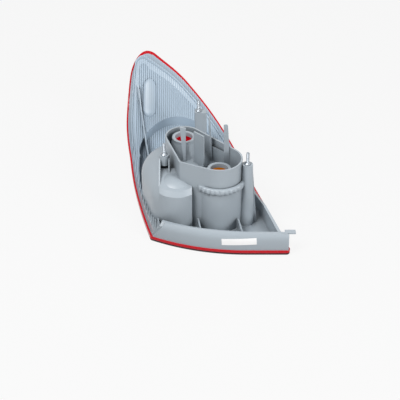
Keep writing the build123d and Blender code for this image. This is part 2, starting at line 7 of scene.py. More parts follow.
import bmesh
import bpy
import numpy as np
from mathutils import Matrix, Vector


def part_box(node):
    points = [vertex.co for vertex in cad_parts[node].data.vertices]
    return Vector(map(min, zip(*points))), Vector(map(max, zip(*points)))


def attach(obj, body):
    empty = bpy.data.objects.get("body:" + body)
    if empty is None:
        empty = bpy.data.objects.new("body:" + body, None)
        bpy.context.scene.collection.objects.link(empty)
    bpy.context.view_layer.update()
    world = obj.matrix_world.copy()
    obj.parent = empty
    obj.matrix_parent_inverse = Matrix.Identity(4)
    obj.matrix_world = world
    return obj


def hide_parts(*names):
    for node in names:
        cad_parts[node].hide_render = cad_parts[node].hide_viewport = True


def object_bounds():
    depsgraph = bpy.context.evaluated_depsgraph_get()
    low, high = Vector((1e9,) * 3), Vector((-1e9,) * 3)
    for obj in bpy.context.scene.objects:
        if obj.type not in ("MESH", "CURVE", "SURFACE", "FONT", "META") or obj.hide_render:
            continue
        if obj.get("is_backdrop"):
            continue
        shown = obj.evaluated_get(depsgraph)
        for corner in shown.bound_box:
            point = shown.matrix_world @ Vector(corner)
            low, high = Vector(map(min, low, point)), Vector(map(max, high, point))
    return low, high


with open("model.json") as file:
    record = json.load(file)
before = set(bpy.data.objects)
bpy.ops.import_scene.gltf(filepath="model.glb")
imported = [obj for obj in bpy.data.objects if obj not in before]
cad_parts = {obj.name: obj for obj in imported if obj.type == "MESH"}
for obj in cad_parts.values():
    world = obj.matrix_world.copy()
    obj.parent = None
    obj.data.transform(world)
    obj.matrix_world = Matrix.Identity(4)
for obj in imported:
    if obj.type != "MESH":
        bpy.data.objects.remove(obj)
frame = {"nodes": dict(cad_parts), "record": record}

bl_info = {
    "name": "Tail Light Cluster",
    "version": (1, 0, 0),
    "blender": (4, 5, 0),
    "location": "3D View > Sidebar > Tail Light",
    "description": "Gives a car tail light cluster its plastics, trim, studs, label and studio stage",
    "category": "Object",
}

MM = 0.001
CAD_LOW, CAD_HIGH = (Vector(corner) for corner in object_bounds())
MOUNTS = {mount["name"]: mount for mount in frame["record"]["mounts"]}
STUD_MOUNTS = [mount for mount in MOUNTS.values() if mount["kind"] == "pin"]
STUD_BOTTOM, STUD_TOP = (corner[2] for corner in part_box("mounting_studs"))

# Bent parting surface between lens and housing: flat at its height, then an arc about an axis along X
PARTING_HEIGHT = 9.0 * MM
BEND_START = -25.0 * MM
BEND_RADIUS = 247.6 * MM

# Arcs of the lens edge in plan, from left over the tip to right: centre and radius in mm, turns in degrees
EDGE_ARCS = (
    ((1138.4, 198.1), 1274.9, 187.6, 185.8),
    ((261.1, 109.5), 393.1, 185.8, 171.0),
    ((-99.0, 166.5), 28.5, 171.0, 65.0),
    ((-209.5, -70.5), 290.0, 65.0, 18.0),
)

# Base of the lamp in plan: straight along X at the right, then an arc to the left
BASE_Y = CAD_LOW.y
BASE_BEND_X = 60.0 * MM
BASE_RADIUS = 310.0 * MM

# Border between lens edge and sail: its width at the left, and the shift that widens it elsewhere
SAIL_BORDER = 4.6 * MM
SAIL_SHIFT = np.array((-4.0, -14.0)) * MM

# Flutes of the sail at constant X: their pitch and depth, and the X of one of them
FLUTE_PITCH = 3.5 * MM
FLUTE_DEPTH = 0.4 * MM
FLUTE_PHASE = -30.25 * MM

# Meshes: points closer than this are joined, and edges turned by more than this stay sharp
JOIN_DISTANCE = 0.001 * MM
SHARP_ANGLE = radians(40.0)

# Sockets of a colour Mix node
MIX_SHARE, MIX_FIRST, MIX_SECOND, MIX_RESULT = 0, 6, 7, 2

# Softboxes: name, place and edge length in metres, power in watts
SOFTBOXES = (
    ("Key Softbox", (-0.7, -0.8, 1.5), 0.7, 21.0),
    ("Right Softbox", (1.3, -1.2, 0.8), 0.6, 18.0),
    ("Back Softbox", (0.5, 1.8, 0.9), 0.8, 4.0),
)


def length(name, description, default, **limits):
    """Property that holds a length in metres."""
    return bpy.props.FloatProperty(
        name=name, description=description, default=default, subtype="DISTANCE", unit="LENGTH", **limits
    )


def angle(name, description, default):
    """Property that holds an angle in radians."""
    return bpy.props.FloatProperty(
        name=name, description=description, default=default, subtype="ANGLE", unit="ROTATION"
    )


def position(name, description, default):
    """Property that holds a place, or sizes, in two or three directions in metres."""
    return bpy.props.FloatVectorProperty(
        name=name,
        description=description,
        default=default,
        size=len(default),
        subtype="TRANSLATION",
        unit="LENGTH",
    )


def hex_color(name, description, default):
    """Property that holds a colour as an sRGB hex value."""
    return bpy.props.StringProperty(name=name, description=description, default=default)


class LampFinishes(bpy.types.PropertyGroup):
    """Colours of the lamp's materials, of the painted sheen and shade, and the grain of its plastic."""

    housing: hex_color("Housing", "Grey of the moulded bowls, bay and base wall", "#A9B3BB")
    # The sail's bluer grey is a painted sheen of bluish light, laid over the housing's grey.
    sail: hex_color("Sail", "Bluer grey of the fluted sail and the valley", "#A9BAC9")
    red: hex_color("Red Lens", "Red of the clear lens", "#CC0F20")
    amber: hex_color("Amber Lens", "Amber of the indicator window", "#E88A12")
    # The lens foot's near black is painted shade where the lens's edge meets the shadowed floor.
    lens_foot_shade: hex_color("Lens Foot", "Near black at the foot of the lens's edge", "#2A1216")
    zinc: hex_color("Studs", "Plating of the studs", "#9AA0A6")
    label: hex_color("Label", "Blank paper of the label", "#FBFBFB")
    grain: length("Grain", "Grain width of the moulded plastic", 0.9 * MM, min=0.1 * MM)


class LampStuds(bpy.types.PropertyGroup):
    """Sizes of the threaded studs."""

    pitch: length("Thread Pitch", "Coarse pitch of the thread", 0.8 * MM, min=0.3 * MM)
    depth: length("Thread Depth", "Depth of the thread from crest to root", 0.43 * MM)
    foot_radius: length("Foot Radius", "Radius of the conical foot on its seat", 5.0 * MM)
    foot_height: length("Foot Height", "Height of the conical foot", 3.5 * MM)


class LampTrim(bpy.types.PropertyGroup):
    """Sizes of the weld bead, the finger ridge and the edges of sail and lens."""

    drum_radius: length("Drum Radius", "Radius of the drum that carries the weld bead", 37.5 * MM)
    bead_top: length("Bead Top", "Height of the upper edge of the weld bead", 88.5 * MM)
    bead_height: length("Bead Height", "Height of the weld bead at a scallop", 11.5 * MM)
    bead_bulge: length("Bead Bulge", "How far a scallop stands out from the drum", 4.6 * MM)
    bead_count: bpy.props.IntProperty(
        name="Bead Count", description="Number of scallops in a full turn", default=34, min=3
    )
    sail_rise: length("Sail Rise", "Height of the sail above the parting surface", 14.0 * MM)
    ridge_middle: position("Ridge Middle", "Middle of the finger ridge in plan", (-96.5 * MM, 131.0 * MM))
    ridge_spine: length("Ridge Spine", "Half the straight length of the finger ridge", 13.5 * MM)
    ridge_width: length("Ridge Width", "Width of the domed finger ridge at its foot", 23.0 * MM)
    ridge_rise: length("Ridge Rise", "Height of the finger ridge above the sail", 5.0 * MM)
    left_growth: length("Left Growth", "How far the left edge stands past the plain outline", 4.4 * MM)
    right_growth: length("Right Growth", "How far the right edge stands past the plain outline", 5.6 * MM)
    lip_radius: length("Lip Radius", "Radius of the round lip along the edge of the sail", 1.3 * MM)


class LampWall(bpy.types.PropertyGroup):
    """Sizes of the base wall's outer skin and of the label on it."""

    left_x: length("Left End", "X of the foot of the wall's left end", -82.0 * MM)
    right_x: length("Right End", "X of the wall's right end", 122.0 * MM)
    mitre: length("Mitre", "Run along X in which the left end rises to its full height", 19.0 * MM)
    left_top: length("Left Top", "Height of the wall at its left end", 36.65 * MM)
    right_top: length("Right Top", "Height of the wall at its right end", 35.65 * MM)
    crown: length("Crown", "Rise of the wall's top in the middle of its run", 3.0 * MM)
    label_middle: position("Label Middle", "X and height of the label's middle", (48.0 * MM, 24.4 * MM))
    label_size: position("Label Size", "Width and height of the label", (52.0 * MM, 11.0 * MM))
    label_tilt: angle("Label Tilt", "Tilt of the label on the wall", radians(3.0))


class LampStage(bpy.types.PropertyGroup):
    """Camera, light and background."""

    elevation: angle("Elevation", "Height of the camera above the horizon", radians(35.0))
    distance: length("Distance", "Distance from the camera to its target", 1.5)
    target: position("Target", "Point at the centre of the picture", (-0.010, -0.143, 0.065))
    lens: bpy.props.FloatProperty(name="Lens", description="Focal length in millimetres", default=90.0)
    background: hex_color("Background", "Pale grey behind the lamp", "#F7F7F7")
    world_light: bpy.props.FloatProperty(
        name="World Light", description="Strength of the even light from all round", default=0.32, min=0.0
    )


PROPERTY_GROUPS = {
    "lamp_finishes": LampFinishes,
    "lamp_studs": LampStuds,
    "lamp_trim": LampTrim,
    "lamp_wall": LampWall,
    "lamp_stage": LampStage,
}


def linear(color):
    """Turns an sRGB hex value into linear RGBA."""
    srgb = np.array([int(color[place : place + 2], 16) for place in (1, 3, 5)]) / 255.0
    low = srgb / 12.92
    high = ((srgb + 0.055) / 1.055) ** 2.4
    return (*np.where(srgb <= 0.04045, low, high).tolist(), 1.0)


def add_node(tree, kind, values=None, links=None, **settings):
    """Adds a node, sets its attributes and input values, and links its inputs to given outputs."""
    node = tree.nodes.new(kind)
    for name, setting in settings.items():
        setattr(node, name, setting)
    for name, value in (values or {}).items():
        node.inputs[name].default_value = value
    for name, output in (links or {}).items():
        tree.links.new(output, node.inputs[name])
    return node


def new_material(name):
    """Returns an empty node material with its output node."""
    material = bpy.data.materials.new(name)
    material.use_nodes = True
    material.node_tree.nodes.clear()
    output = add_node(material.node_tree, "ShaderNodeOutputMaterial")
    return material, material.node_tree, output


def dress(node_name, material):
    """Gives a CAD node its material."""
    slots = frame["nodes"][node_name].data.materials
    slots.clear()
    slots.append(material)


def near_lens(tree, spot):
    """Output that is 1 on the sail and the valley and 0 on what stands up from them.

    The height above the bent parting surface is the bend radius less the distance from the bend axis. The
    share falls from 1 to 0 between two such heights, and over a run along Y towards the flat front.
    """
    # This share sets where the painted bluish sheen and the painted flute shade go.
    blue_height, grey_height, front_run = 16 * MM, 24 * MM, 60 * MM
    place = add_node(tree, "ShaderNodeSeparateXYZ", links=spot)
    axis = {"Y": BEND_START, "Z": PARTING_HEIGHT + BEND_RADIUS}
    middle = add_node(tree, "ShaderNodeCombineXYZ", axis, {"X": place.outputs["X"]})
    ends = {0: spot["Vector"], 1: middle.outputs["Vector"]}
    reach = add_node(tree, "ShaderNodeVectorMath", links=ends, operation="DISTANCE")
    low = add_node(
        tree,
        "ShaderNodeMapRange",
        {"From Min": BEND_RADIUS - grey_height, "From Max": BEND_RADIUS - blue_height},
        {"Value": reach.outputs["Value"]},
        interpolation_type="SMOOTHSTEP",
    )
    back = add_node(
        tree,
        "ShaderNodeMapRange",
        {"From Min": BEND_START - front_run, "From Max": BEND_START},
        {"Value": place.outputs["Y"]},
        interpolation_type="SMOOTHSTEP",
    )
    both = {0: low.outputs["Result"], 1: back.outputs["Result"]}
    return add_node(tree, "ShaderNodeMath", links=both, operation="MULTIPLY").outputs[0]


def flute_shade(tree, spot, sail):
    """Output of painted shade in the bottoms of the sail's flutes and painted highlight on their crests: a
    cosine of X, one period a flute.

    It works on the share that is sail and on faces that look up, and leaves steep faces at the middle tone.
    """
    steep, level = 0.15, 0.4
    crest_tone, bottom_tone = 1.06, 0.84
    place = add_node(tree, "ShaderNodeSeparateXYZ", links=spot)
    scale = {1: 2 * np.pi / FLUTE_PITCH, 2: -2 * np.pi * FLUTE_PHASE / FLUTE_PITCH}
    turn = add_node(tree, "ShaderNodeMath", scale, {0: place.outputs["X"]}, operation="MULTIPLY_ADD")
    wave = add_node(tree, "ShaderNodeMath", links={0: turn.outputs[0]}, operation="COSINE")
    surface = add_node(tree, "ShaderNodeNewGeometry")
    facing = add_node(tree, "ShaderNodeSeparateXYZ", links={"Vector": surface.outputs["Normal"]})
    limits = {"From Min": steep, "From Max": level}
    upward = add_node(tree, "ShaderNodeMapRange", limits, {"Value": facing.outputs["Z"]})
    both = {0: upward.outputs["Result"], 1: sail}
    fluted = add_node(tree, "ShaderNodeMath", links=both, operation="MULTIPLY")
    parts = {0: wave.outputs[0], 1: fluted.outputs[0]}
    part = add_node(tree, "ShaderNodeMath", links=parts, operation="MULTIPLY")
    tones = {"From Min": -1.0, "From Max": 1.0, "To Min": crest_tone, "To Max": bottom_tone}
    return add_node(tree, "ShaderNodeMapRange", tones, {"Value": part.outputs[0]}).outputs["Result"]


def under_bore(tree, spot, mount):
    """Output that is 1 inside the bowl under a bulb bore, where its painted light goes: near its axis, lower
    than it and facing it.
    """
    bowl_reach = 19.5 * MM
    x, y, z = mount["pos_m"]
    bottom = z - mount["dims"]["length_mm"] * MM / 2
    surface = add_node(tree, "ShaderNodeNewGeometry")
    place = add_node(tree, "ShaderNodeSeparateXYZ", links=spot)
    axis = add_node(tree, "ShaderNodeCombineXYZ", {"X": x, "Y": y}, {"Z": place.outputs["Z"]})
    ends = {0: spot["Vector"], 1: axis.outputs["Vector"]}
    offset = add_node(tree, "ShaderNodeVectorMath", links=ends, operation="SUBTRACT")
    away = add_node(tree, "ShaderNodeVectorMath", links={0: offset.outputs["Vector"]}, operation="LENGTH")
    sides = {0: offset.outputs["Vector"], 1: surface.outputs["Normal"]}
    turned = add_node(tree, "ShaderNodeVectorMath", links=sides, operation="DOT_PRODUCT")
    tests = (
        (place.outputs["Z"], bottom),
        (away.outputs["Value"], bowl_reach),
        (turned.outputs["Value"], 0.0),
    )
    passed = [
        add_node(tree, "ShaderNodeMath", {1: limit}, {0: value}, operation="LESS_THAN").outputs[0]
        for value, limit in tests
    ]
    inside = passed[0]
    for test in passed[1:]:
        both = {0: inside, 1: test}
        inside = add_node(tree, "ShaderNodeMath", links=both, operation="MULTIPLY").outputs[0]
    return inside


def abs_tone(tree, spot, finishes):
    """Output with the plastic's grey and flow marks, a painted bluish sheen on the sail, and painted shade in
    corners and flutes.
    """
    flow_width, painted_shade_reach = 60 * MM, 24 * MM
    sail = near_lens(tree, spot)
    # Painted sheen: the grey turns bluer on the sail and the valley.
    grey = add_node(
        tree,
        "ShaderNodeMix",
        {MIX_FIRST: linear(finishes.housing), MIX_SECOND: linear(finishes.sail)},
        {MIX_SHARE: sail},
        data_type="RGBA",
    )
    flow = add_node(tree, "ShaderNodeTexNoise", {"Scale": 1 / flow_width, "Detail": 2.0}, spot)
    marks = add_node(
        tree, "ShaderNodeMapRange", {"To Min": 0.95, "To Max": 1.05}, {"Value": flow.outputs["Fac"]}
    )
    # Painted shade: the grey darkens where other surfaces lie near, in corners, gaps and the valley.
    corner = add_node(tree, "ShaderNodeAmbientOcclusion", {"Distance": painted_shade_reach}, samples=8)
    depth = add_node(
        tree,
        "ShaderNodeMapRange",
        {"From Min": 0.2, "From Max": 0.9, "To Min": 0.45, "To Max": 1.0},
        {"Value": corner.outputs["AO"]},
    )
    shade = marks.outputs["Result"]
    for share in (depth.outputs["Result"], flute_shade(tree, spot, sail)):
        shade = add_node(tree, "ShaderNodeMath", links={0: shade, 1: share}, operation="MULTIPLY").outputs[0]
    tone = add_node(
        tree,
        "ShaderNodeMix",
        {MIX_SHARE: 1.0},
        {MIX_FIRST: grey.outputs[MIX_RESULT], MIX_SECOND: shade},
        data_type="RGBA",
        blend_type="MULTIPLY",
    )
    return tone.outputs[MIX_RESULT]


def moulded_abs(finishes):
    """Moulded ABS: satin grey, with painted light in the lens's colours and a painted glow inside the bowls.

    Its grain is drawn coarser than the real one, which is too fine to show.
    """
    painted_bowl_glow, grain_depth = 0.3, 0.1 * MM
    material, tree, output = new_material("Moulded ABS")
    place = add_node(tree, "ShaderNodeTexCoord")
    spot = {"Vector": place.outputs["Object"]}
    tint, painted_glow = abs_tone(tree, spot, finishes), None
    # Painted light: the bowls take their lens's colour and a painted glow, as if lit through the lens.
    for mount, color in (("upper_bulb_bore", finishes.red), ("lower_bulb_bore", finishes.amber)):
        inside = under_bore(tree, spot, MOUNTS[mount])
        lens = {MIX_SECOND: linear(color)}
        parts = {MIX_SHARE: inside, MIX_FIRST: tint}
        tint = add_node(tree, "ShaderNodeMix", lens, parts, data_type="RGBA").outputs[MIX_RESULT]
        glow = add_node(tree, "ShaderNodeMath", {1: painted_bowl_glow}, {0: inside}, operation="MULTIPLY").outputs[0]
        if painted_glow is not None:
            glow = add_node(tree, "ShaderNodeMath", links={0: painted_glow, 1: glow}, operation="ADD").outputs[0]
        painted_glow = glow
    fine = add_node(tree, "ShaderNodeTexNoise", {"Scale": 1 / finishes.grain}, spot)
    bump = add_node(
        tree, "ShaderNodeBump", {"Strength": 0.08, "Distance": grain_depth}, {"Height": fine.outputs["Fac"]}
    )
    fed = {
        "Base Color": tint,
        "Emission Color": tint,
        "Emission Strength": painted_glow,
        "Normal": bump.outputs["Normal"],
    }
    shader = add_node(tree, "ShaderNodeBsdfPrincipled", {"Roughness": 0.36}, fed)
    tree.links.new(shader.outputs["BSDF"], output.inputs["Surface"])
    return material


def clear_acrylic(name, color, foot_shade_color, transmission, glow):
    """Coloured acrylic: glossy, deep in colour, with a painted glow for light from within, and painted shade
    near black at the foot of its edge.
    """
    foot_height, clear_height = 4.2 * MM, 5.2 * MM
    side, underside = -0.7, -0.9
    material, tree, output = new_material(name)
    place = add_node(tree, "ShaderNodeTexCoord")
    spot = add_node(tree, "ShaderNodeSeparateXYZ", links={"Vector": place.outputs["Object"]})
    surface = add_node(tree, "ShaderNodeNewGeometry")
    facing = add_node(tree, "ShaderNodeSeparateXYZ", links={"Vector": surface.outputs["Normal"]})
    # Painted shade: low on the edge, where it does not face down, the lens turns near black.
    heights = {"From Min": foot_height, "From Max": clear_height}
    high = add_node(tree, "ShaderNodeMapRange", heights, {"Value": spot.outputs["Z"]})
    limits = {"From Min": side, "From Max": underside}
    under = add_node(tree, "ShaderNodeMapRange", limits, {"Value": facing.outputs["Z"]})
    parts = {0: high.outputs["Result"], 1: under.outputs["Result"]}
    clear = add_node(tree, "ShaderNodeMath", links=parts, operation="MAXIMUM")
    tone = add_node(
        tree,
        "ShaderNodeMix",
        {MIX_FIRST: linear(foot_shade_color), MIX_SECOND: linear(color)},
        {MIX_SHARE: clear.outputs[0]},
        data_type="RGBA",
    )
    # Painted glow: the clear part glows in its own colour, as if lit from within.
    painted_glow = add_node(tree, "ShaderNodeMath", {1: glow}, {0: clear.outputs[0]}, operation="MULTIPLY")
    look = {
        "Roughness": 0.06,
        "IOR": 1.49,
        "Specular IOR Level": 0.2,
        "Transmission Weight": transmission,
    }
    fed = {
        "Base Color": tone.outputs[MIX_RESULT],
        "Emission Color": tone.outputs[MIX_RESULT],
        "Emission Strength": painted_glow.outputs[0],
    }
    shader = add_node(tree, "ShaderNodeBsdfPrincipled", look, fed)
    tree.links.new(shader.outputs["BSDF"], output.inputs["Surface"])
    return material


def zinc_plate(color):
    """Zinc-plated steel: bright metal with a soft gloss."""
    material, tree, output = new_material("Zinc-plated Steel")
    look = {"Base Color": linear(color), "Metallic": 1.0, "Roughness": 0.4}
    shader = add_node(tree, "ShaderNodeBsdfPrincipled", look)
    tree.links.new(shader.outputs["BSDF"], output.inputs["Surface"])
    return material


def coated_paper(color):
    """Coated paper: flat white with a slight sheen."""
    material, tree, output = new_material("Coated Paper")
    shader = add_node(tree, "ShaderNodeBsdfPrincipled", {"Base Color": linear(color), "Roughness": 0.5})
    tree.links.new(shader.outputs["BSDF"], output.inputs["Surface"])
    return material


def ring_grid(rows, columns):
    """Quads of a grid of rows by columns that closes round its columns."""
    row = np.arange(rows - 1)[:, None] * columns
    column = np.arange(columns)[None, :]
    after = (column + 1) % columns
    quads = np.stack([row + column, row + after, row + columns + after, row + columns + column], axis=-1)
    return quads.reshape(-1, 4)


def mesh_piece(name, grids, material):
    """Makes an object at the origin from grids of points, each closed round its columns.

    Points that meet are joined, and the faces are shaded smooth up to the sharp angle.
    """
    counts = np.cumsum([0, *(points.size // 3 for points in grids)])
    vertices = np.concatenate([points.reshape(-1, 3) for points in grids])
    quads = np.concatenate([ring_grid(*points.shape[:2]) + count for points, count in zip(grids, counts)])
    mesh = bpy.data.meshes.new(name)
    mesh.from_pydata(vertices.tolist(), [], quads.tolist())
    joined = bmesh.new()
    joined.from_mesh(mesh)
    bmesh.ops.remove_doubles(joined, verts=joined.verts, dist=JOIN_DISTANCE)
    joined.to_mesh(mesh)
    joined.free()
    mesh.materials.append(material)
    mesh.polygons.foreach_set("use_smooth", np.ones(len(mesh.polygons), dtype=bool))
    mesh.set_sharp_from_angle(angle=SHARP_ANGLE)
    piece = bpy.data.objects.new(name, mesh)
    bpy.context.collection.objects.link(piece)
    return piece


def above_lens(plan_x, plan_y, rise):
    """Points over plan positions at a rise above the bent parting surface.

    The surface is flat up to the bend start. Past it the height is that of the bend axis less the root of
    the squared radius, made smaller by the rise, minus the squared distance past the bend start.
    """
    past = np.maximum(plan_y - BEND_START, 0.0)
    height = PARTING_HEIGHT + BEND_RADIUS - np.sqrt((BEND_RADIUS - rise) ** 2 - past**2)
    return np.stack(np.broadcast_arrays(plan_x, plan_y, height), axis=-1)


def pointed_ends(points):
    """Rows of points with the first and the last row drawn together in their first points."""
    points = points.copy()
    for row in (0, -1):
        points[row] = points[row, 0]
    return points


def flat_ends(points):
    """Rows of points with one more row at each end that lies in a single point and closes the end flat."""
    return pointed_ends(np.concatenate([points[:1], points, points[-1:]]))


def weld_bead(trim, centre):
    """Points of the scalloped weld bead round the drum.

    Over its height the bead bulges as a flattened sine, and its back lies inside the drum. Its bulge and its
    lower edge follow the absolute value of a cosine of the turn, with one scallop a half period.
    """
    stations, steps = 480, 12
    first_turn, last_turn = radians(78.0), radians(-165.0)
    edge_depth, back_depth = 0.4 * MM, 1.2 * MM
    least_bulge, least_height, flatness = 0.72, 0.86, 0.35
    turns = np.linspace(first_turn, last_turn, stations)[:, None]
    down = np.linspace(1.0, 0.0, steps)[None, :]
    wave = np.abs(np.cos(trim.bead_count / 2 * turns))
    bulge = trim.bead_bulge * (least_bulge + (1.0 - least_bulge) * wave)
    front = trim.drum_radius - edge_depth + np.sin(np.pi * down) ** flatness * bulge
    front_height = trim.bead_top - down * trim.bead_height * (least_height + (1.0 - least_height) * wave)
    back = np.full((stations, 2), trim.drum_radius - back_depth)
    radius = np.concatenate([front, back], axis=1)
    height = np.concatenate([front_height, front_height[:, -1:], front_height[:, :1]], axis=1)
    x = centre[0] + radius * np.cos(turns)
    y = centre[1] + radius * np.sin(turns)
    return pointed_ends(np.stack([x, y, height], axis=-1))


def finger_ridge(trim):
    """Points of the domed finger ridge.

    Rings at equal distances from a straight spine, the first two its flat underside. The rise over the sail
    is a power of one less the squared share of the half width.
    """
    rings, columns = 16, 96
    edge_depth, underside_depth, roundness = 0.3 * MM, 1.0 * MM, 0.4
    share = np.concatenate([[0.0, 1.0], np.linspace(1.0, 0.0, rings)])[:, None]
    turns = (np.arange(columns) + 0.5)[None, :] * 2 * np.pi / columns
    reach = share * trim.ridge_width / 2
    x = trim.ridge_middle[0] + reach * np.cos(turns)
    y = trim.ridge_middle[1] + reach * np.sin(turns) + trim.ridge_spine * np.sign(np.sin(turns))
    rise = trim.sail_rise - edge_depth + trim.ridge_rise * (1.0 - share**2) ** roundness
    rise[:2] = trim.sail_rise - underside_depth
    return above_lens(x, y, rise)


def smooth(share):
    """Smooth step of a share from 0 to 1: three times its square less twice its cube."""
    share = np.clip(share, 0.0, 1.0)
    return share**2 * (3.0 - 2.0 * share)


class EdgePath(NamedTuple):
    """Stations along the lens edge: plan points, outward directions, reaches of lens and sail, a fade."""

    plan: np.ndarray
    outward: np.ndarray
    lens: np.ndarray
    sail: np.ndarray
    fade: np.ndarray


def edge_path(trim):
    """Stations along the arcs of the lens edge.

    The lens reaches past the arcs by a growth that rises and falls smoothly with the run, once at the left
    and once at the right. The sail ends inside them by its border, and by the shift where that points
    inwards. It moves out with the right growth and sinks into the CAD wall at both ends, where the fade
    falls to 0.
    """
    station_mm, set_back, end_depth = 0.7, 0.3 * MM, 3.0 * MM
    left_rise, left_end, left_fall = 90 * MM, 191 * MM, 60 * MM
    right_start, right_rise, right_fall = 181 * MM, 75 * MM, 150 * MM
    fade_in, fade_out = 40 * MM, 60 * MM
    plan, outward = [], []
    for centre, radius, start, end in EDGE_ARCS:
        stations = int(radius * radians(start - end) / station_mm)
        turns = np.radians(np.linspace(start, end, stations))[1:]
        outward.append(np.stack([np.cos(turns), np.sin(turns)], axis=-1))
        plan.append((np.array(centre) + radius * outward[-1]) * MM)
    plan, outward = np.concatenate(plan), np.concatenate(outward)
    run = np.concatenate([[0.0], np.cumsum(np.linalg.norm(np.diff(plan, axis=0), axis=1))])
    rest = run[-1] - run
    left = trim.left_growth * smooth(run / left_rise) * smooth((left_end - run) / left_fall)
    right = trim.right_growth * smooth((run - right_start) / right_rise) * smooth(rest / right_fall)
    fade = smooth(run / fade_in) * smooth(rest / fade_out)
    sail = np.minimum(outward @ SAIL_SHIFT, 0.0) - SAIL_BORDER + right - end_depth * (1.0 - fade)
    return EdgePath(plan, outward, left + right - set_back, sail - set_back, fade)


def along_edge(path, section):
    """Points of a closed section of reaches and rises, carried along the lens edge."""
    reach, rise = (np.stack(np.broadcast_arrays(*part), axis=-1) for part in zip(*section))
    x = path.plan[:, :1] + path.outward[:, :1] * reach
    y = path.plan[:, 1:] + path.outward[:, 1:] * reach
    return pointed_ends(above_lens(x, y, rise))


def flute_cut(x):
    """Depth of the sail's flutes at X: half their depth times one plus a cosine, one period a flute."""
    return FLUTE_DEPTH / 2 * (1.0 + np.cos(2 * np.pi * (x - FLUTE_PHASE) / FLUTE_PITCH))


def lens_edge(trim):
    """Points of the lens's outer edge.

    The section runs out along the bottom, up a rounded foot, given by insets and rises, and the outer face,
    back over the top and down its inner side, which lies in the CAD lens. The top sinks where the fade falls.
    """
    path = edge_path(trim)
    bottom, ledge, bevel = -9.05 * MM, -6.5 * MM, 0.4 * MM
    edge_width, top_round, wall_depth, ledge_depth = 3.0 * MM, 0.5 * MM, 2.9 * MM, 5.0 * MM
    foot = ((edge_width, bottom), (1.5 * MM, -8.65 * MM), (0.4 * MM, -7.5 * MM), (0.0, -6.0 * MM))
    end_top, top_rise = -0.2 * MM, 1.0 * MM
    top = end_top + top_rise * path.fade
    section = [
        (-ledge_depth, bottom),
        *((path.lens - inset, rise) for inset, rise in foot),
        (path.lens, top - bevel),
        (path.lens - top_round, top),
        (path.lens - edge_width, top),
        (-wall_depth, top - bevel),
        (-wall_depth, ledge),
        (-ledge_depth, ledge),
    ]
    return along_edge(path, section)


def sail_edge(trim):
    """Points of the sail's edge.

    The section runs out under the border, up beside the lens's edge, in over the border, up the step and in
    over the fluted margin of the sail's top. Border and top sink into the CAD faces where the fade falls.
    """
    path = edge_path(trim)
    margin_steps, margin_depth = 16, 3.0 * MM
    underside, lens_width = 0.2 * MM, 2.8 * MM
    step_lean, step_round, top_round = 0.5 * MM, 0.6 * MM, 1.1 * MM
    end_border, border_rise = 0.3 * MM, 0.65 * MM
    end_depth, top_rise = 0.2 * MM, 0.35 * MM
    border = end_border + border_rise * path.fade
    top = trim.sail_rise - end_depth + top_rise * path.fade
    inside = path.sail - trim.right_growth - margin_depth
    outside = path.sail - top_round
    margin = [outside + share * (inside - outside) for share in np.linspace(0.0, 1.0, margin_steps)]
    section = [
        (inside, underside),
        (path.lens - lens_width, underside),
        (path.lens - lens_width, border),
        (path.sail, border),
        (path.sail - step_lean, top - step_round),
        *((reach, top - flute_cut(path.plan[:, 0] + path.outward[:, 0] * reach)) for reach in margin),
    ]
    return along_edge(path, section)


def sail_lip(trim):
    """Points of the round lip along the edge of the sail: a circle carried along it, thin at both ends."""
    path = edge_path(trim)
    sides, thin_share, lift = 12, 0.1, 0.4
    radius = trim.lip_radius * (thin_share + (1.0 - thin_share) * path.fade)
    middle = path.sail - trim.lip_radius
    turns = np.arange(sides) * 2 * np.pi / sides - np.pi / 2
    section = [
        (middle + radius * cos(turn), trim.sail_rise + radius * (lift + sin(turn))) for turn in turns
    ]
    return along_edge(path, section)


def base_line(x, inset):
    """Y of the base's plan outline at X, drawn in by an inset: straight, then an arc to the left."""
    past = np.maximum(BASE_BEND_X - x, 0.0)
    return BASE_Y + BASE_RADIUS - np.sqrt((BASE_RADIUS - inset) ** 2 - past**2)


def wall_inset(height):
    """Inset of the wall's outer face at a height: nearly upright, then leaning in past a soft fold.

    It is a foot inset plus a slope times the soft form of a ramp, the log of one plus an exponential.
    """
    foot, slope, fold, softness = 0.8 * MM, 0.9, 33.0 * MM, 3.0 * MM
    return foot + slope * softness * np.log1p(np.exp((height - fold) / softness))


def base_wall(wall):
    """Points of the base wall's outer skin.

    Closed sections across the wall at steps along X: the foot, the outer face by its inset, a narrow top and
    a back that lies in the CAD wall. The top falls from left to right, with a parabola as its crown, and
    rises along the mitre at the left.
    """
    stations, steps = 160, 24
    foot, least_height = PARTING_HEIGHT + 0.05 * MM, 0.2 * MM
    top_width, lip_height = 2.2 * MM, 1.0 * MM
    back_depth, back_height = 5.0 * MM, 27.0 * MM
    x = np.linspace(wall.right_x, wall.left_x, stations)[:, None]
    share = (x - wall.left_x) / (wall.right_x - wall.left_x)
    crown = wall.crown * 4 * share * (1.0 - share)
    mitre = foot + least_height + (wall.left_top - foot) * (x - wall.left_x) / wall.mitre
    top = np.minimum(wall.left_top + (wall.right_top - wall.left_top) * share + crown, mitre)
    face = foot + (top - foot) * np.linspace(0.0, 1.0, steps)[None, :]
    back = np.full_like(x, back_depth)
    top_back = np.maximum(wall_inset(top) + top_width, back_depth)
    lip = np.maximum(top - lip_height, foot)
    inset = np.concatenate([back, wall_inset(face), top_back, top_back, back], axis=1)
    height = np.concatenate(
        [np.full_like(x, foot), face, top, lip, np.minimum(lip, back_height)], axis=1
    )
    return flat_ends(np.stack([np.broadcast_to(x, inset.shape), base_line(x, inset), height], axis=-1))


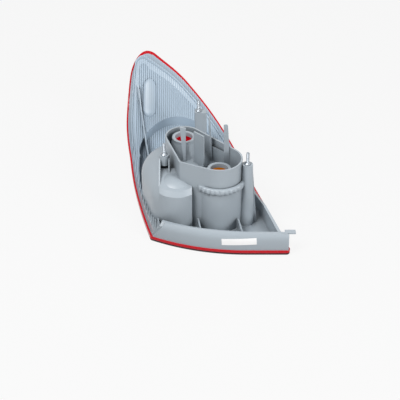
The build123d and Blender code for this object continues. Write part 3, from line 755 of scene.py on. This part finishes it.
def wall_label(wall):
    """Points of the label: a thin tilted sheet laid on the wall's outer face."""
    stations, steps = 40, 10
    front_lift, back_lift = 0.25 * MM, -0.1 * MM
    width, height = wall.label_size
    across = np.linspace(width / 2, -width / 2, stations)[:, None]
    up = np.linspace(-height / 2, height / 2, steps)
    up = np.concatenate([up, up[::-1]])[None, :]
    lift = np.repeat([front_lift, back_lift], steps)[None, :]
    x = wall.label_middle[0] + across * cos(wall.label_tilt) - up * sin(wall.label_tilt)
    z = wall.label_middle[1] + across * sin(wall.label_tilt) + up * cos(wall.label_tilt)
    return flat_ends(np.stack([x, base_line(x, wall_inset(z) - lift), z], axis=-1))


def threaded_stud(mount, studs):
    """Points of one stud.

    The radius at a height follows the outline of root, conical foot, shank and chamfered tip. On the shank
    a triangle wave of height over pitch less turn, the thread, is taken off it.
    """
    columns, steps_per_pitch, chamfer_margin = 32, 8, 0.25 * MM
    radius = mount["dims"]["r_mm"] * MM
    centre_x, centre_y, centre_z = mount["pos_m"]
    foot_top = centre_z - mount["dims"]["length_mm"] * MM / 2
    seat = foot_top - studs.foot_height
    chamfer = studs.depth + chamfer_margin
    thread_rows = int((STUD_TOP - foot_top) / studs.pitch * steps_per_pitch)
    outline = np.array(
        [
            (STUD_BOTTOM, 0.0),
            (STUD_BOTTOM, radius),
            (seat, radius),
            (seat, studs.foot_radius),
            (seat + studs.foot_height / 3, studs.foot_radius),
            (foot_top, radius),
        ]
    )
    shank_heights = np.linspace(foot_top, STUD_TOP, thread_rows)[1:]
    shank_radii = np.minimum(radius, radius - chamfer + (STUD_TOP - shank_heights))
    heights = np.concatenate([outline[:, 0], shank_heights, [STUD_TOP]])[:, None]
    radii = np.concatenate([outline[:, 1], shank_radii, [0.0]])[:, None]
    turns = np.linspace(0.0, 2 * np.pi, columns, endpoint=False)[None, :]
    wave = np.abs(2 * ((heights / studs.pitch - turns / (2 * np.pi)) % 1.0) - 1.0)
    onset = np.clip((heights - foot_top) / studs.pitch, 0.0, 1.0)
    reach = np.maximum(radii - studs.depth * wave * onset, 0.0)
    x = centre_x + reach * np.cos(turns)
    y = centre_y + reach * np.sin(turns)
    return np.stack([x, y, np.broadcast_to(heights, reach.shape)], axis=-1)


def add_moulding(name, points):
    """Adds a piece of the housing's plastic to the housing."""
    piece = mesh_piece(name, [points], bpy.data.materials["Moulded ABS"])
    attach(piece, "root")


class LAMP_OT_housing(bpy.types.Operator):
    """Gives the housing its moulded plastic"""

    bl_idname = "lamp.housing"
    bl_label = "Finish Housing"

    def execute(self, context):
        dress("housing", moulded_abs(context.scene.lamp_finishes))
        return {"FINISHED"}


class LAMP_OT_trim(bpy.types.Operator):
    """Makes the weld bead and the domed finger ridge on the housing"""

    bl_idname = "lamp.trim"
    bl_label = "Make Trim"

    def execute(self, context):
        trim = context.scene.lamp_trim
        add_moulding("weld_bead", weld_bead(trim, MOUNTS["lower_bulb_bore"]["pos_m"]))
        add_moulding("finger_ridge", finger_ridge(trim))
        return {"FINISHED"}


class LAMP_OT_sail(bpy.types.Operator):
    """Makes the edge of the sail and the lip along it"""

    bl_idname = "lamp.sail"
    bl_label = "Make Sail Edge"

    def execute(self, context):
        trim = context.scene.lamp_trim
        add_moulding("sail_edge", sail_edge(trim))
        add_moulding("sail_lip", sail_lip(trim))
        return {"FINISHED"}


class LAMP_OT_wall(bpy.types.Operator):
    """Makes the outer skin of the base wall"""

    bl_idname = "lamp.wall"
    bl_label = "Make Base Wall"

    def execute(self, context):
        add_moulding("base_wall", base_wall(context.scene.lamp_wall))
        return {"FINISHED"}


class LAMP_OT_lenses(bpy.types.Operator):
    """Gives the red lens and the amber window their clear plastics and makes the lens's outer edge"""

    bl_idname = "lamp.lenses"
    bl_label = "Finish Lenses"

    def execute(self, context):
        finishes = context.scene.lamp_finishes
        foot = finishes.lens_foot_shade
        # The glow is painted light through the lens, and the foot colour is painted shade.
        red = clear_acrylic("Red Acrylic", finishes.red, foot, transmission=0.2, glow=0.1)
        amber = clear_acrylic("Amber Acrylic", finishes.amber, foot, transmission=0.3, glow=0.35)
        dress("red_lens", red)
        dress("amber_lens", amber)
        piece = mesh_piece("lens_edge", [lens_edge(context.scene.lamp_trim)], red)
        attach(piece, "root")
        return {"FINISHED"}


class LAMP_OT_studs(bpy.types.Operator):
    """Makes the threaded studs in place of the plain ones"""

    bl_idname = "lamp.studs"
    bl_label = "Make Studs"

    def execute(self, context):
        zinc = zinc_plate(context.scene.lamp_finishes.zinc)
        grids = [threaded_stud(mount, context.scene.lamp_studs) for mount in STUD_MOUNTS]
        piece = mesh_piece("threaded_studs", grids, zinc)
        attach(piece, "root")
        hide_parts("mounting_studs")
        return {"FINISHED"}


class LAMP_OT_label(bpy.types.Operator):
    """Makes the blank paper label on the base wall's skin in place of the plain one"""

    bl_idname = "lamp.label"
    bl_label = "Make Label"

    def execute(self, context):
        paper = coated_paper(context.scene.lamp_finishes.label)
        piece = mesh_piece("paper_label", [wall_label(context.scene.lamp_wall)], paper)
        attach(piece, "root")
        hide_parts("label")
        return {"FINISHED"}


class LAMP_OT_stage(bpy.types.Operator):
    """Sets up the floor, the soft lights, the background and the camera"""

    bl_idname = "lamp.stage"
    bl_label = "Set Stage"

    def execute(self, context):
        stage = context.scene.lamp_stage
        pale = linear(stage.background)
        self.make_floor(context, pale)
        self.make_world(context, pale, stage.world_light)
        for softbox in SOFTBOXES:
            self.make_light(context, *softbox)
        self.make_camera(context, stage)
        context.scene.view_settings.view_transform = "Standard"
        return {"FINISHED"}

    def make_floor(self, context, pale):
        """Pale floor: the camera sees an even tone with a soft trace of the lamp's shadow."""
        half_size, grey, glow_strength, even_share = 4.0, 0.35, 1.15, 0.82
        mesh = bpy.data.meshes.new("floor")
        corners = [(x * half_size, y * half_size, 0.0) for x, y in ((-1, -1), (1, -1), (1, 1), (-1, 1))]
        mesh.from_pydata(corners, [], [(0, 1, 2, 3)])
        material, tree, output = new_material("Matt Floor")
        paper = add_node(tree, "ShaderNodeBsdfDiffuse", {"Color": (grey, grey, grey, 1.0)})
        glow = add_node(tree, "ShaderNodeEmission", {"Color": pale, "Strength": glow_strength})
        seen = self.seen_directly(tree, even_share)
        parts = {0: seen, 1: paper.outputs["BSDF"], 2: glow.outputs["Emission"]}
        mixed = add_node(tree, "ShaderNodeMixShader", links=parts)
        tree.links.new(mixed.outputs["Shader"], output.inputs["Surface"])
        mesh.materials.append(material)
        floor = bpy.data.objects.new("floor", mesh)
        context.collection.objects.link(floor)
        floor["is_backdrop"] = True

    def seen_directly(self, tree, share):
        """Output that is the share for rays from the camera, in a reflection or through clear plastic."""
        path = add_node(tree, "ShaderNodeLightPath")
        first = {0: path.outputs["Is Camera Ray"], 1: path.outputs["Is Glossy Ray"]}
        either = add_node(tree, "ShaderNodeMath", links=first, operation="MAXIMUM")
        second = {0: either.outputs[0], 1: path.outputs["Is Transmission Ray"]}
        any_of = add_node(tree, "ShaderNodeMath", links=second, operation="MAXIMUM")
        part = add_node(tree, "ShaderNodeMath", {1: share}, {0: any_of.outputs[0]}, operation="MULTIPLY")
        return part.outputs[0]

    def make_world(self, context, pale, light):
        """World: even soft light, seen by the camera as the pale background."""
        world = bpy.data.worlds.new("Studio")
        world.use_nodes = True
        tree = world.node_tree
        tree.nodes.clear()
        output = add_node(tree, "ShaderNodeOutputWorld")
        even = add_node(tree, "ShaderNodeBackground", {"Color": (1.0, 1.0, 1.0, 1.0), "Strength": light})
        backdrop = add_node(tree, "ShaderNodeBackground", {"Color": pale, "Strength": 1.0})
        seen = self.seen_directly(tree, 1.0)
        parts = {0: seen, 1: even.outputs["Background"], 2: backdrop.outputs["Background"]}
        mixed = add_node(tree, "ShaderNodeMixShader", links=parts)
        tree.links.new(mixed.outputs["Shader"], output.inputs["Surface"])
        context.scene.world = world

    def make_light(self, context, name, place, size, power):
        """Square area light aimed at the middle of the lamp."""
        data = bpy.data.lights.new(name, "AREA")
        data.size = size
        data.energy = power
        light = bpy.data.objects.new(name, data)
        light.location = place
        middle = (CAD_LOW + CAD_HIGH) / 2
        light.rotation_euler = (middle - light.location).to_track_quat("-Z", "Y").to_euler()
        context.collection.objects.link(light)

    def make_camera(self, context, stage):
        """Camera along +Y from above, aimed at the target."""
        data = bpy.data.cameras.new("Camera")
        data.lens = stage.lens
        data.sensor_fit = "HORIZONTAL"
        data.sensor_width = 36.0
        camera = bpy.data.objects.new("Camera", data)
        target = Vector(stage.target)
        away = Vector((0.0, -cos(stage.elevation), sin(stage.elevation)))
        camera.location = target + stage.distance * away
        camera.rotation_euler = (-away).to_track_quat("-Z", "Y").to_euler()
        context.collection.objects.link(camera)
        context.scene.camera = camera


OPERATORS = (
    LAMP_OT_housing,
    LAMP_OT_trim,
    LAMP_OT_sail,
    LAMP_OT_wall,
    LAMP_OT_lenses,
    LAMP_OT_studs,
    LAMP_OT_label,
    LAMP_OT_stage,
)


class LAMP_PT_panel(bpy.types.Panel):
    """Lists the sizes and colours of the lamp and the steps that dress it"""

    bl_idname = "LAMP_PT_panel"
    bl_label = "Tail Light Cluster"
    bl_space_type = "VIEW_3D"
    bl_region_type = "UI"
    bl_category = "Tail Light"

    def draw(self, context):
        for group_name, group in PROPERTY_GROUPS.items():
            box = self.layout.box()
            for name in group.__annotations__:
                box.prop(getattr(context.scene, group_name), name)
        for operator in OPERATORS:
            self.layout.operator(operator.bl_idname)


CLASSES = (*PROPERTY_GROUPS.values(), *OPERATORS, LAMP_PT_panel)


def register():
    """Registers the classes and hangs the property groups on the scene."""
    for item in CLASSES:
        bpy.utils.register_class(item)
    for name, group in PROPERTY_GROUPS.items():
        setattr(bpy.types.Scene, name, bpy.props.PointerProperty(type=group))


def unregister():
    """Takes the property groups and classes away again."""
    for name in PROPERTY_GROUPS:
        delattr(bpy.types.Scene, name)
    for item in reversed(CLASSES):
        bpy.utils.unregister_class(item)


def main():
    """Registers the add-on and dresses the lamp."""
    register()
    bpy.ops.lamp.housing()
    bpy.ops.lamp.trim()
    bpy.ops.lamp.sail()
    bpy.ops.lamp.wall()
    bpy.ops.lamp.lenses()
    bpy.ops.lamp.studs()
    bpy.ops.lamp.label()
    bpy.ops.lamp.stage()


if __name__ == "__main__":
    main()
